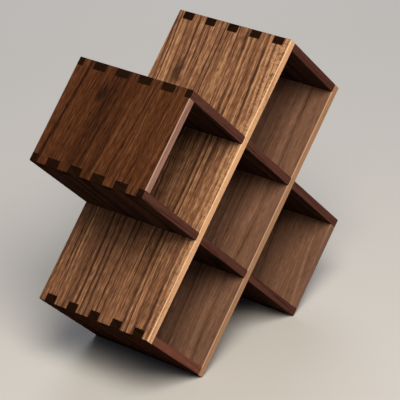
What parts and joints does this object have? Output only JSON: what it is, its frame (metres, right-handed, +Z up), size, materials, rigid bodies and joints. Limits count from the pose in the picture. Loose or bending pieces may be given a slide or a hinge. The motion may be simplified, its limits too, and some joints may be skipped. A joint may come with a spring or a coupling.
{
  "type": "wine rack",
  "caption": "Small tabletop wine rack of solid walnut boards, an X of diamond cells that hold bottles lying on their side.",
  "frame": {"origin": "on the ground, under the middle of the rack, half way between its front and its back", "axes": "+X to the right seen from the front, +Y to the back along the bottles, +Z up"},
  "size_m": [0.2856, 0.13, 0.2855],
  "materials": {
    "walnut_golden": "solid walnut, golden brown with dark streaks, sanded and oiled to a satin sheen",
    "walnut_brown": "solid walnut, mid grey-brown with soft streaks, sanded and oiled to a satin sheen",
    "walnut_red": "solid walnut, reddish brown with fine straight grain, sanded and oiled to a satin sheen",
    "walnut_dark": "solid walnut, dark reddish brown heartwood, sanded and oiled to a satin sheen"
  },
  "bodies": {
    "root": {"rising_board_upper": "walnut_golden", "rising_board_lower": "walnut_brown", "falling_board_upper": "walnut_dark", "falling_board_lower": "walnut_dark", "upper_left_end_board": "walnut_red", "upper_right_end_board": "walnut_dark", "lower_left_end_board": "walnut_red", "lower_right_end_board": "walnut_brown"}
  },
  "joints": []
}
